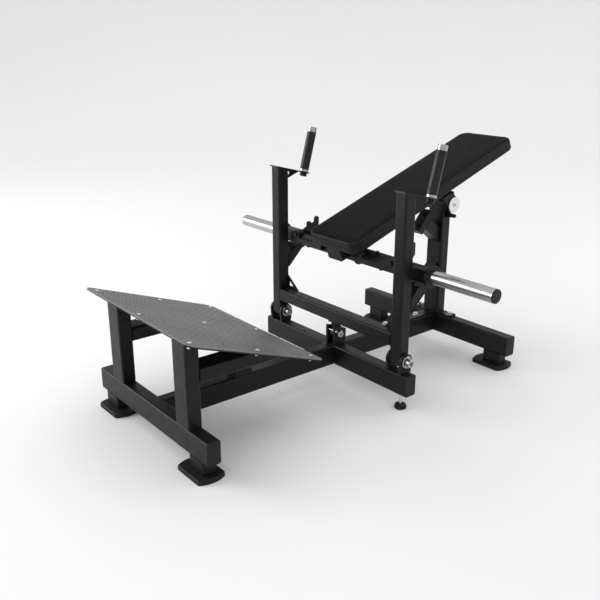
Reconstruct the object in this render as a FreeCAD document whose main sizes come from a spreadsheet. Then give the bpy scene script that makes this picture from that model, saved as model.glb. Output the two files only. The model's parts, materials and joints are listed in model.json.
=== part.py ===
import FreeCAD, Part
import os
import re
import Sketcher
from FreeCAD import Placement, Rotation, Vector

# Hip thrust machine.
#
# A low welded base carries a sloping foot platform at the front and a post at the rear. The
# padded back rest swings on a shaft at the top of that post, and the weight beam with its two
# plate sleeves is welded under the front of the back rest. The catch frame, two uprights with
# a crossbar and hand grips, is hinged to the base: its rest plates hold the weight beam up
# until the user pushes the grips forward.
#
# Millimetres. X runs across the machine, +Y from the foot platform to the rear post, +Z up.
# The origin is on the floor, under the middle of the whole machine. The driving dimensions
# count Y from the front face of the middle crossbar, and datum_y moves them to the origin.

DIMENSIONS = {
    # whole machine
    "datum_y": (-34.75, "from the middle crossbar's front face to the origin"),
    "running": (0.05, "radial clearance of a pin that turns or slides in a bore"),
    # steel tube
    "tube_width": (50, "width of the base tube and side of the square tube"),
    "tube_height": (80, "height of the base tube"),
    "wall": (3, "tube wall"),
    "tube_corner": (7, "outer corner radius of a tube"),
    "sheet": (6, "thickness of gussets and small plates"),
    "thick_plate": (8, "thickness of mounting plates"),
    # base
    "base_bottom": (62, "underside of the base tubes"),
    "front_y": (-802, "front face of the front crossbar"),
    "rear_y": (585, "front face of the rear crossbar"),
    "front_half": (357, "half length of the front crossbar, with its end caps"),
    "middle_half": (410, "half length of the middle crossbar, with its end caps"),
    "rear_half": (411, "half length of the rear crossbar, with its end caps"),
    "cap_flange": (4, "thickness of an end cap outside its tube"),
    "cap_plug": (14, "depth of an end cap inside its tube"),
    # feet
    "foot_pad_depth": (16, "thickness of a rubber foot"),
    "foot_pad_x": (152, "length of a rubber foot over its bowed ends"),
    "foot_pad_y": (98, "width of a rubber foot"),
    "foot_bow": (92, "radius of a rubber foot's bowed ends"),
    "foot_corner": (9, "corner radius of a rubber foot"),
    "foot_bevel": (3, "bevel round the top of a rubber foot"),
    "foot_block_x": (84, "length of the steel foot block"),
    "foot_block_y": (46, "width of the steel foot block"),
    "foot_block_out": (10, "from the middle of a rubber foot out to its block's"),
    "front_foot_x": (278, "centre of a front foot's rubber"),
    "rear_foot_x": (328, "centre of a rear foot's rubber"),
    "leveller_x": (365, "centre of a levelling foot"),
    "leveller_radius": (22, "radius of a levelling foot"),
    "stem_radius": (6, "radius of a levelling foot's stem"),
    "stem_top": (100, "top end of the stem, inside the crossbar"),
    "jam_nut": (12, "height of the jam nut under the crossbar"),
    # foot platform
    "plate_y": (-839, "front top edge of the foot plate"),
    "plate_z": (465, "height of that edge"),
    "plate_slope": (19.8, "slope of the foot plate, down to the rear"),
    "plate_half": (347.5, "half width of the foot plate"),
    "plate_length": (545, "length of the foot plate along its slope"),
    "plate_steel": (4, "thickness of the foot plate"),
    "plate_tread": (2, "thickness of the tread sheet"),
    "plate_corner": (30, "corner radius of the foot plate"),
    "leg_x": (218, "centre of a platform leg and of a rail"),
    "leg_width": (80, "width of a platform leg and of a rail"),
    "rail_bottom": (290, "underside of the platform rails"),
    "rail_end": (-366, "rear tip of the platform rails"),
    "cross_y": (-523, "front face of the platform's cross tube"),
    "cross_bottom": (276, "underside of the platform's cross tube"),
    "tread_bolt_x": (306, "outer columns of tread bolts"),
    "tread_bolt_front": (30, "front row of tread bolts"),
    "tread_bolt_middle": (285, "middle row of tread bolts"),
    "tread_bolt_rear": (515, "rear row of tread bolts"),
    "tread_bolt_radius": (4, "radius of a tread bolt"),
    "tread_head": (7, "radius of a tread bolt's head"),
    "tread_head_top": (3, "height of that head"),
    "tread_bolt_low": (-18, "lower end of a tread bolt, from the tread"),
    "tread_nut": (7.5, "corner radius of a tread bolt's nut"),
    "tread_nut_depth": (6.5, "height of that nut"),
    # catch frame hinge
    "hinge_y": (25, "hinge axis of the catch frame"),
    "hinge_z": (187, "height of the hinge axis"),
    "pin_radius": (10, "radius of the hinge pins"),
    "pin_end": (14, "end of a side pin, beyond its lug"),
    "pin_nut": (16, "corner radius of a side pin's nut"),
    "pin_nut_depth": (11, "height of that nut"),
    "pin_washer": (23, "radius of the washer under a side pin's head"),
    "pin_neck": (11, "radius of a side pin's neck, and its length outside the lug"),
    "pin_head": (15, "radius of a side pin's head"),
    "pin_head_end": (24, "outer face of that head, from the lug"),
    "pin_socket": (8, "corner radius of the hexagon socket in it"),
    "pin_socket_depth": (7, "depth of that socket"),
    "arm_pin_end": (12, "end of the centre pin, beyond its plate"),
    "arm_pin_head": (14, "radius of the centre pin's head"),
    "arm_pin_head_end": (11, "outer face of that head, from the plate"),
    "arm_pin_nut": (15, "corner radius of the centre pin's nut"),
    "arm_pin_nut_depth": (9, "height of that nut"),
    "arm_pin_socket": (7, "corner radius of the socket in the centre pin's head"),
    "arm_pin_socket_depth": (5, "depth of that socket"),
    "lug_x": (347, "middle of a pair of side lugs, and of an upright"),
    "lug_gap": (27, "from that middle to a lug's inner face"),
    "lug_plate": (10, "thickness of a side lug"),
    "lug_radius": (30, "rounded top of a side lug"),
    "boss_radius": (25, "radius of the boss at the foot of an upright"),
    "bush_radius": (14, "outer radius of a hinge bush"),
    "bush_flange": (1.8, "thickness of a hinge bush's flange"),
    "ear_inner": (17, "inner face of a centre hinge plate"),
    "ear_front_z": (219, "front top corner of a centre hinge plate"),
    "ear_rear_z": (202, "rear top corner of a centre hinge plate"),
    "ear_rear_y": (60, "rear edge of a centre hinge plate"),
    "tilt_bolt_y": (6.9, "axis of the bolt that stops the forward tilt"),
    "tilt_bolt_z": (200, "height of that axis"),
    "tilt_bolt": (3, "radius of that bolt"),
    "tilt_bolt_head": (5, "radius and height of that bolt's heads"),
    "bumper_y": (45.3, "front face of the rubber bumper behind the arm"),
    "bumper_z": (190, "underside of the rubber bumper"),
    # rear post
    "pivot_y": (610, "pivot axis of the back rest"),
    "pivot_z": (629, "height of the pivot axis"),
    "post_width": (80, "width of the rear post across the machine"),
    "housing_radius": (33, "outer radius of the pivot housing"),
    "housing_half": (61, "half length of the pivot housing"),
    "bearing_radius": (26, "outer radius of a pivot bearing"),
    "bearing_width": (15, "width of a pivot bearing"),
    "shaft_radius": (12.5, "radius of the pivot shaft"),
    "base_plate_half": (105, "half length of the post's base plate"),
    "base_plate_width": (46, "width of the post's base plate"),
    "post_bolt_x": (87, "bolts of the post's base plate"),
    "spine_plate_y": (285, "front edge of the plate under the brace"),
    "spine_bolt_front": (308, "front bolt of the plate under the brace"),
    "spine_bolt_rear": (492, "rear bolt of the plate under the brace"),
    "frame_bolt": (6, "radius of the frame bolts"),
    "frame_bolt_low": (-20, "lower end of a frame bolt, from the plate"),
    "frame_bolt_head": (11, "corner radius of a frame bolt's head"),
    "frame_bolt_top": (10, "top of that head, from the plate"),
    "frame_washer": (13, "radius of the washer under it"),
    "frame_washer_depth": (2, "thickness of that washer"),
    "brace_y": (335, "front end of the diagonal brace's top edge"),
    "brace_angle": (42.4, "angle of the diagonal brace above the floor"),
    "stop_y": (460, "lower edge of the lower stop's face"),
    "stop_z": (530, "height of that edge"),
    "stop_length": (103, "length of the lower stop's face"),
    "stop_half": (24, "half width of the lower stop's block"),
    "stop_depth": (28, "thickness of that block"),
    "stop_slope": (51, "angle of the lower stop's face above the floor"),
    "stop_bolt_low": (25, "lower bolt of the stop's face"),
    "stop_bolt_high": (78, "upper bolt of the stop's face"),
    "stop_bolt": (5, "radius of the stop's bolts"),
    "stop_bolt_head": (9, "radius of their heads"),
    "stop_bolt_top": (6, "height of their heads"),
    "stop_bolt_socket": (4.5, "corner radius of the sockets in them"),
    "lock_z": (582, "axis of the lock pin on the post"),
    "lock_radius": (4, "radius of the lock pin"),
    "lock_barrel": (11, "radius of the lock pin's barrel"),
    "lock_barrel_end": (18, "outer end of that barrel, from the post"),
    "lock_flange": (13, "radius of the barrel's flange"),
    "lock_reach": (22, "from the post's face to the inner end of the lock pin"),
    "lock_knob": (8, "radius of the lock pin's knob"),
    "lock_knob_start": (20, "inner face of that knob, from the post"),
    "lock_knob_end": (46, "outer face of that knob, from the post"),
    # catch frame
    "catch_bar_z": (236, "underside of the catch frame's crossbar"),
    "arm_half": (11, "half thickness of the centre arm"),
    "arm_front": (15, "front face of the centre arm"),
    "arm_rear": (45, "rear face of the centre arm"),
    "arm_round": (18, "radius of the centre arm round its pin"),
    "handle_z": (800.5, "front top edge of the plate on an upright"),
    "handle_slope": (15, "slope of that plate, down to the rear"),
    "handle_plate": (5, "thickness of that plate"),
    "handle_plate_end": (178, "rear end of that plate, along its slope"),
    "handle_y": (155, "axis of the hand grip, along the slope"),
    "rod_radius": (8, "radius of the rod inside a hand grip"),
    "handle_boss": (14.5, "radius of the boss under that plate"),
    "tip_height": (20, "height of the metal tip above a hand grip"),
    "boss_depth": (14, "depth of the boss under that plate"),
    "grip_radius": (18.6, "radius of the rubber grip and its ferrules"),
    "grip_low": (11, "lower end of the rubber grip, above the plate"),
    "grip_high": (164, "upper end of the rubber grip"),
    "strut_low": (325, "height of the strut's lower edge at Y = 0"),
    "strut_high": (370, "height of the strut's upper edge at Y = 0"),
    "rest_y": (62, "front end of the rubber that the beam is parked on"),
    "rest_z": (476.6, "height of that end"),
    "rest_slope": (14.8, "slope of the rubber, down to the rear"),
    "rest_length": (76.5, "length of the rubber along its slope"),
    "gusset_x": (68, "width of a gusset of the catch frame"),
    "gusset_z": (54, "height of a gusset of the catch frame"),
    "gusset_set_back": (2, "from an upright's rear face to its gusset"),
    "web_low": (739, "lower corner of the gusset under a handle plate"),
    "web_hole_y": (66, "centre of the hole in that gusset"),
    "web_hole_z": (764, "height of that centre"),
    "web_hole": (7.5, "radius of that hole"),
    # back rest
    "pad_y": (-16, "front edge of the cushion's top"),
    "pad_z": (575, "height of that edge"),
    "pad_tilt": (19.26, "slope of the back rest, up to the rear"),
    "pad_half": (136, "half width of the cushion"),
    "pad_length": (964, "length of the cushion"),
    "pad_depth": (50, "thickness of the cushion"),
    "pad_corner": (40, "corner radius of the cushion in plan"),
    "pad_round": (14, "radius of the cushion's top edge"),
    "board_depth": (10, "thickness of the board under the cushion"),
    "board_inset": (6, "from the cushion's side to the board"),
    "pad_bolt": (4, "radius of the cushion's bolts"),
    "pad_bolt_head": (8, "radius of their heads"),
    "pad_bolt_low": (-5, "height of their heads, under the support tube"),
    "pad_bolt_reach": (6, "how far they reach into the board"),
    "pad_bolt_first": (180, "first cushion bolt from the front"),
    "pad_bolt_pitch": (260, "distance between cushion bolts"),
    "support_front": (10, "front end of the support tube"),
    "support_rear": (720, "rear end of the support tube"),
    "bracket_front": (560, "front edge of the pivot bracket"),
    "bracket_rear": (622, "rear edge of the pivot bracket"),
    "bracket_half": (73, "half width of the pivot bracket"),
    "bracket_arm": (10, "thickness of the pivot bracket's arms"),
    "bracket_round": (32, "radius of the arms round the pivot"),
    "bracket_step": (14, "straight edge at the top of an arm"),
    "cap_screw": (5, "radius of the screw that holds a pivot cap"),
    "cap_screw_head": (9, "radius of that screw's head"),
    "cap_screw_depth": (20, "how far that screw reaches into the shaft"),
    "pivot_cap_depth": (5, "thickness of a pivot cap"),
    # weight beam
    "beam_y": (98, "axis of the weight beam"),
    "beam_z": (501, "height of that axis"),
    "beam_half": (413, "half length of the weight beam"),
    "collar_radius": (40, "radius of the plate stop at a sleeve's root"),
    "collar_depth": (10, "thickness of the plate stop"),
    "sleeve_radius": (25, "radius of a weight sleeve"),
    "sleeve_wall": (4, "wall of a weight sleeve"),
    "sleeve_end": (691, "outer end of a sleeve, with its cap"),
    "belt_plate": (8, "thickness of a belt bracket's plate and of a belt hook"),
    "belt_lobe_x": (76, "inner lobe of a belt bracket"),
    "belt_lobe_radius": (27, "radius of that lobe"),
    "belt_bar_inner": (114, "inner end of the bar welded along the beam's front"),
    "belt_bar_outer": (302, "outer end of that bar"),
    "belt_bar_depth": (27, "depth of that bar, in front of the beam"),
    "belt_bar_low": (491, "underside of that bar"),
    "belt_bar_edge": (511, "top edge of that bar's front face"),
    "belt_bar_slant": (8, "size of the slope over that edge"),
    "belt_boss_x": (207, "boss under that bar"),
    "belt_boss": (7, "radius of that boss"),
    "belt_boss_depth": (8, "height of that boss"),
    "belt_ear_x": (269, "bolt at the bracket's outer end"),
    "belt_ear_z": (526, "height of that bolt"),
    "belt_ear_radius": (18, "radius of the ear round that bolt"),
    "belt_knob_x": (148, "axis of the knob on the beam's top"),
    "belt_knob": (8, "radius of that knob"),
    "belt_knob_top": (11, "height of that knob"),
    "belt_stem": (5, "radius of its stem"),
    "belt_bolt": (8, "corner radius of the bolt's head on an ear"),
    "belt_bolt_depth": (7, "height of that head"),
    "hook_x": (270, "middle of a belt hook"),
    "hook_front_y": (114, "centre of a belt hook's front prong"),
    "hook_front_z": (560, "height of that centre"),
    "hook_rear_y": (154, "centre of a belt hook's rear prong"),
    "hook_rear_z": (576, "height of that centre"),
    "hook_prong": (10.5, "radius of a prong's end"),
}

# Expressions that several pieces share.
BASE_TOP = "(base_bottom + tube_height)"
BASE_MIDDLE = "(base_bottom + tube_height/2)"
PLATE_TOP = "(base_bottom + tube_height + thick_plate)"
BORE = "(pin_radius + running)"

# The pivot axis in the back rest's own frame.
PIVOT_S = "((pivot_y - pad_y)*cos(pad_tilt) + (pivot_z - pad_z)*sin(pad_tilt))"
PIVOT_N = "((pivot_z - pad_z)*cos(pad_tilt) - (pivot_y - pad_y)*sin(pad_tilt))"

# Frames that pieces are drawn in: Y and Z of the origin, the slope of their Y axis, and
# whether that slope rises (1) or falls (-1) to the rear.
FRAMES = {
    "machine": ("0", "0", "0", 1),
    "foot plate": ("plate_y", "plate_z", "plate_slope", -1),
    "handle": ("0", "handle_z", "handle_slope", -1),
    "rest": ("rest_y", "rest_z", "rest_slope", -1),
    "stop": ("stop_y", "stop_z", "stop_slope", 1),
    "back rest": ("pad_y", "pad_z", "pad_tilt", 1),
}
PLANES = {"X": "YZ_Plane", "Y": "XZ_Plane", "Z": "XY_Plane"}
DIRECTIONS = {"X": Vector(1, 0, 0), "Y": Vector(0, 1, 0), "Z": Vector(0, 0, 1)}

doc = FreeCAD.newDocument("hip_thrust_machine")
dims = doc.addObject("Spreadsheet::Sheet", "dims")
for row, (alias, (size, meaning)) in enumerate(DIMENSIONS.items(), 1):
    dims.set("A%d" % row, str(size))
    dims.setAlias("A%d" % row, alias)
    dims.set("B%d" % row, meaning)
doc.recompute()

subparts = []


def ex(text):
    """An expression on the sheet, from text that names its cells by alias alone."""
    return re.sub(r"[a-z_]+", lambda m: ("dims." if m[0] in DIMENSIONS else "") + m[0], str(text))


def value(text):
    """What an expression is worth now."""
    return float(dims.evalExpression(ex(text)))


def place(item, frame, x="0", y="0", z="0"):
    """Puts a piece at a point of one of the frames, turned with that frame."""
    frame_y, frame_z, slope, rise = FRAMES[frame]
    item.Placement = Placement(Vector(), Rotation(Vector(rise, 0, 0), value(slope)))
    if frame != "machine":
        item.setExpression("Placement.Rotation.Angle", ex(slope))
    sine = "%d*sin(%s)" % (rise, slope)
    cosine = "cos(%s)" % slope
    item.setExpression("Placement.Base.x", ex(x))
    item.setExpression("Placement.Base.y",
                       ex("datum_y + %s + (%s)*%s - (%s)*%s" % (frame_y, y, cosine, z, sine)))
    item.setExpression("Placement.Base.z",
                       ex("%s + (%s)*%s + (%s)*%s" % (frame_z, y, sine, z, cosine)))


def body(label, frame="machine", x="0", y="0", z="0"):
    item = doc.addObject("PartDesign::Body", label)
    item.Label = label
    place(item, frame, x, y, z)
    return item


def publish(item):
    """Counts an object as a sub-part: its Label names its file."""
    subparts.append(item)
    return item


# Outlines, drawn in a sketch with every point bound to the sheet.

def bind_point(sketch, geometry, vertex, point):
    for kind, text in zip(("DistanceX", "DistanceY"), point):
        constraint = sketch.addConstraint(
            Sketcher.Constraint(kind, -1, 1, geometry, vertex, value(text)))
        name = "%s_%d" % (kind, geometry)
        sketch.renameConstraint(constraint, name)
        sketch.setExpression("Constraints." + name, ex(text))


def polygon(*points):
    def draw(sketch):
        first = sketch.GeometryCount
        corners = [Vector(value(u), value(v), 0) for u, v in points]
        for start, end in zip(corners, corners[1:] + corners[:1]):
            sketch.addGeometry(Part.LineSegment(start, end))
        for step, point in enumerate(points):
            following = first + (step + 1) % len(points)
            sketch.addConstraint(Sketcher.Constraint("Coincident", first + step, 2, following, 1))
            bind_point(sketch, first + step, 1, point)
    return draw


def rectangle(u, v, width, height):
    left, right = "%s - (%s)/2" % (u, width), "%s + (%s)/2" % (u, width)
    low, high = "%s - (%s)/2" % (v, height), "%s + (%s)/2" % (v, height)
    return polygon((left, low), (right, low), (right, high), (left, high))


def hexagon(radius):
    return polygon(*[("(%s)*cos(%d)" % (radius, turn), "(%s)*sin(%d)" % (radius, turn))
                     for turn in range(0, 360, 60)])


def circle(u, v, radius):
    def draw(sketch):
        centre = Vector(value(u), value(v), 0)
        ring = sketch.addGeometry(Part.Circle(centre, Vector(0, 0, 1), value(radius)))
        bind_point(sketch, ring, 3, (u, v))
        constraint = sketch.addConstraint(Sketcher.Constraint("Radius", ring, value(radius)))
        sketch.renameConstraint(constraint, "radius_%d" % ring)
        sketch.setExpression("Constraints.radius_%d" % ring, ex(radius))
    return draw


# Features.

def sketch_on(item, plane, *outlines):
    sketch = item.newObject("Sketcher::SketchObject", item.Name + "_sketch")
    support = [f for f in item.Origin.OriginFeatures if f.Role == plane][0]
    sketch.AttachmentSupport = [(support, "")]
    sketch.MapMode = "FlatFace"
    for draw in outlines:
        draw(sketch)
    return sketch


def extrude(item, kind, axis, start, end, *outlines):
    """A Pad or a Pocket from start to end along an axis. The XZ plane faces -Y, so there
    the sketch lies on the end."""
    sketch = sketch_on(item, PLANES[axis], *outlines)
    sketch.setExpression("AttachmentOffset.Base.z", ex("-(%s)" % end if axis == "Y" else start))
    feature = item.newObject("PartDesign::" + kind, "%s_%s" % (item.Name, kind.lower()))
    feature.Profile = sketch
    feature.setExpression("Length", ex("(%s) - (%s)" % (end, start)))
    if kind == "Pocket":
        before = item.Shape.Volume
        feature.Reversed = True
        doc.recompute()
        if not feature.Shape.Volume < before - 1e-6:
            raise RuntimeError("%s: a pocket cuts nothing" % item.Label)
    doc.recompute()
    return feature


def pad(item, axis, start, end, *outlines):
    return extrude(item, "Pad", axis, start, end, *outlines)


def pocket(item, axis, start, end, *outlines):
    return extrude(item, "Pocket", axis, start, end, *outlines)


def along(axis, keep=lambda centre: True):
    """Picks the straight edges parallel to an axis whose middle passes a test."""
    def wanted(edge):
        if not isinstance(edge.Curve, Part.Line):
            return False
        lean = abs(edge.tangentAt(edge.FirstParameter).dot(DIRECTIONS[axis]))
        return lean > 0.999 and keep(edge.CenterOfMass)
    return wanted


def level_with(text):
    """Picks the edges that lie flat at one height of the piece's own frame."""
    height = value(text)
    return lambda edge: all(abs(v.Z - height) < 1e-4 for v in edge.Vertexes)


def round_edges(item, radius, wanted, kind="Fillet"):
    base = item.Tip
    names = ["Edge%d" % n for n, edge in enumerate(base.Shape.Edges, 1) if wanted(edge)]
    feature = item.newObject("PartDesign::" + kind, "%s_%s" % (item.Name, kind.lower()))
    feature.Base = (base, names)
    feature.setExpression("Radius" if kind == "Fillet" else "Size", ex(radius))
    doc.recompute()
    return feature


# Whole pieces that are made the same way.

def tube(label, axis, start, end, centre, size, frame="machine"):
    """A length of rectangular tube, open at its ends."""
    item = body(label, frame)
    pad(item, axis, start, end, rectangle(*centre, *size))
    round_edges(item, "tube_corner", along(axis))
    bore = ["%s - 2*wall" % side for side in size]
    pocket(item, axis, start, end, rectangle(*centre, *bore))
    return item


def turned(label, axis, profile, frame="machine", at=("0", "0", "0")):
    """A turned piece. Along X the profile is (x, radius), along Z it is (radius, z)."""
    item = body(label, frame, *at)
    sketch = sketch_on(item, "XZ_Plane", polygon(*profile))
    feature = item.newObject("PartDesign::Revolution", label + "_turned")
    feature.Profile = sketch
    feature.ReferenceAxis = (sketch, ["H_Axis" if axis == "X" else "V_Axis"])
    feature.Angle = 360
    doc.recompute()
    return item


def nut(label, axis, start, end, across, bore, frame="machine"):
    item = body(label, frame)
    pad(item, axis, start, end, hexagon(across), circle("0", "0", bore))
    return item


def mirrored(item, label):
    """The same piece on the left of the machine."""
    other = doc.addObject("Part::Mirroring", label)
    other.Source = item
    other.Normal = (1, 0, 0)
    doc.recompute()
    return other


def assemble(label, *pieces):
    """One sub-part of several separate solids."""
    compound = doc.addObject("Part::Compound", label)
    compound.Links = list(pieces)
    doc.recompute()
    return publish(compound)


def both_sides(label, right):
    return assemble(label, right, mirrored(right, label + "_left"))


def copies(label, masters, places, frame="machine"):
    """Copies of one or more pieces at each place: x, y, z and a turn about Z in degrees."""
    links = []
    for number, (x, y, z, turn) in enumerate(places, 1):
        for master in masters:
            link = doc.addObject("App::Link", "%s_%d" % (master.Name, number))
            link.LinkedObject = master
            link.LinkTransform = False
            link.Placement = Placement(Vector(), Rotation(Vector(0, 0, 1), turn))
            for name, text in zip("xyz", (x, y, z)):
                link.setExpression("Placement.Base." + name, ex(text))
            links.append(link)
    compound = doc.addObject("Part::Compound", label)
    compound.Links = links
    place(compound, frame)
    doc.recompute()
    return compound


# Base: three crossbars joined by two spines.

def crossbar(label, half, y):
    end = "%s - cap_flange" % half
    return tube(label, "X", "-(%s)" % end, end, ("%s + tube_width/2" % y, BASE_MIDDLE),
                ("tube_width", "tube_height"))


def make_base():
    publish(crossbar("front_crossbar", "front_half", "front_y"))
    middle = publish(crossbar("middle_crossbar", "middle_half", "0"))
    stem_hole = "stem_radius + running"
    pocket(middle, "Z", "base_bottom", "base_bottom + wall",
           circle("leveller_x", "hinge_y", stem_hole), circle("-leveller_x", "hinge_y", stem_hole))
    rear = publish(crossbar("rear_crossbar", "rear_half", "rear_y"))
    pocket(rear, "Z", BASE_TOP + " - wall", BASE_TOP,
           circle("post_bolt_x", "pivot_y", "frame_bolt"),
           circle("-post_bolt_x", "pivot_y", "frame_bolt"))

    section = ("tube_width", "tube_height")
    publish(tube("front_spine", "Y", "front_y + tube_width", "0", ("0", BASE_MIDDLE), section))
    spine = publish(tube("rear_spine", "Y", "tube_width", "rear_y", ("0", BASE_MIDDLE), section))
    pocket(spine, "Z", BASE_TOP + " - wall", BASE_TOP,
           circle("0", "spine_bolt_front", "frame_bolt"),
           circle("0", "spine_bolt_rear", "frame_bolt"))

    cap = body("crossbar_cap")
    pad(cap, "X", "0", "cap_flange", rectangle("0", "0", "tube_width", "tube_height"))
    round_edges(cap, "tube_corner", along("X"))
    pad(cap, "X", "-cap_plug", "0",
        rectangle("0", "0", "tube_width - 2*wall", "tube_height - 2*wall"))
    places = []
    for half, y in (("front_half", "front_y"), ("middle_half", "0"), ("rear_half", "rear_y")):
        for side, turn in (("", 0), ("-", 180)):
            places.append(("%s(%s - cap_flange)" % (side, half), y + " + tube_width/2",
                           BASE_MIDDLE, turn))
    publish(copies("crossbar_end_caps", [cap], places))


def make_feet():
    corners, block_places = [], []
    for x, y in (("front_foot_x", "front_y"), ("rear_foot_x", "rear_y")):
        for side in ("", "-"):
            corners.append((side + x, y + " + tube_width/2", "0", 0))
            block_places.append(("%s(%s + foot_block_out)" % (side, x), y + " + tube_width/2",
                                 "0", 0))
    block = tube("foot_block", "Z", "foot_pad_depth", "base_bottom", ("0", "0"),
                 ("foot_block_x", "foot_block_y"))
    publish(copies("foot_blocks", [block], block_places))
    rubber = body("foot_pad")
    pad(rubber, "Z", "0", "foot_pad_depth", rectangle("0", "0", "foot_pad_x", "foot_pad_y"))
    for centre in ("foot_pad_x/2 - foot_bow", "foot_bow - foot_pad_x/2"):
        pocket(rubber, "Z", "0", "foot_pad_depth", circle(centre, "0", "foot_bow"),
               rectangle(centre, "0", "3*foot_bow", "3*foot_bow"))
    round_edges(rubber, "foot_corner", along("Z"))
    round_edges(rubber, "foot_bevel", level_with("foot_pad_depth"), "Chamfer")
    publish(copies("foot_pads", [rubber], corners))


def make_levellers():
    for side, sign in (("right", ""), ("left", "-")):
        at = (sign + "leveller_x", "hinge_y", "0")
        publish(turned("leveller_foot_" + side, "Z",
                       [("0", "0"), ("leveller_radius - 2", "0"), ("leveller_radius", "2"),
                        ("leveller_radius", "11"), ("leveller_radius - 3", "foot_pad_depth"),
                        ("0", "foot_pad_depth")], at=at))
        publish(turned("leveller_stem_" + side, "Z",
                       [("0", "foot_pad_depth"), ("stem_radius", "foot_pad_depth"),
                        ("stem_radius", "stem_top - 2"), ("stem_radius - 2", "stem_top"),
                        ("0", "stem_top")], at=at))
    jam = nut("leveller_nut", "Z", "base_bottom - jam_nut", "base_bottom", "2*stem_radius",
              "stem_radius + running")
    publish(copies("leveller_nuts", [jam],
                   [("leveller_x", "hinge_y", "0", 0), ("-leveller_x", "hinge_y", "0", 0)]))


# Foot platform: two legs, two rails, a cross tube and a centre post under a sloping plate.

def under_plate(y):
    """Height of the foot plate's underside at one Y."""
    return ("(plate_z - (%s - plate_y)*tan(plate_slope)"
            " - (plate_steel + plate_tread)/cos(plate_slope))" % y)


def trim_under_plate(item, front, rear, half_width):
    """Cuts a tube off along the underside of the foot plate."""
    pocket(item, "X", "-(%s)" % half_width, half_width,
           polygon((front, under_plate(front)), (rear, under_plate(rear)),
                   (rear, "plate_z + tube_height"), (front, "plate_z + tube_height")))


def make_platform():
    leg_y = "front_y + tube_width/2"
    outer = "leg_x + leg_width"
    leg = tube("platform_leg", "Z", BASE_TOP, "plate_z", ("leg_x", leg_y),
               ("leg_width", "tube_width"))
    trim_under_plate(leg, "front_y - wall", "front_y + tube_width + wall", outer)
    both_sides("platform_legs", leg)

    rail = tube("platform_rail", "Y", "front_y + tube_width", "rail_end",
                ("leg_x", "rail_bottom + tube_width/2"), ("leg_width", "tube_width"))
    trim_under_plate(rail, "cross_y - tube_width", "rail_end + wall", outer)
    both_sides("platform_rails", rail)

    inner = "leg_x - leg_width/2"
    publish(tube("platform_cross_tube", "X", "-(%s)" % inner, inner,
                 ("cross_y + tube_width/2", "cross_bottom + tube_width/2"),
                 ("tube_width", "tube_width")))
    post_front = "cross_y + tube_width"
    post = publish(tube("platform_centre_post", "Z", BASE_TOP, "plate_z",
                        ("0", post_front + " + leg_width/2"), ("tube_width", "leg_width")))
    trim_under_plate(post, post_front + " - wall", post_front + " + leg_width + wall", outer)

    holes = [circle(x, y, "tread_bolt_radius") for x in ("-tread_bolt_x", "0", "tread_bolt_x")
             for y in ("tread_bolt_front", "tread_bolt_middle", "tread_bolt_rear")]
    for label, low, high in (("foot_plate", "-plate_tread - plate_steel", "-plate_tread"),
                             ("foot_tread", "-plate_tread", "0")):
        sheet_metal = publish(body(label, "foot plate"))
        pad(sheet_metal, "Z", low, high,
            rectangle("0", "plate_length/2", "2*plate_half", "plate_length"))
        round_edges(sheet_metal, "plate_corner", along("Z"))
        pocket(sheet_metal, "Z", low, high, *holes)

    bolt = turned("tread_bolt", "Z",
                  [("0", "tread_bolt_low"), ("tread_bolt_radius", "tread_bolt_low"),
                   ("tread_bolt_radius", "0"), ("tread_head", "0"),
                   ("0.9*tread_head", "0.6*tread_head_top"),
                   ("0.6*tread_head", "tread_head_top"), ("0", "tread_head_top")])
    plate_bottom = "-plate_tread - plate_steel"
    bolt_nut = nut("tread_nut", "Z", plate_bottom + " - tread_nut_depth", plate_bottom,
                   "tread_nut", "tread_bolt_radius")
    publish(copies("tread_bolts", [bolt, bolt_nut],
                   [(x, y, "0", 0) for x in ("-tread_bolt_x", "0", "tread_bolt_x")
                    for y in ("tread_bolt_front", "tread_bolt_middle", "tread_bolt_rear")],
                   "foot plate"))


# Hinge of the catch frame on the middle crossbar.

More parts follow.
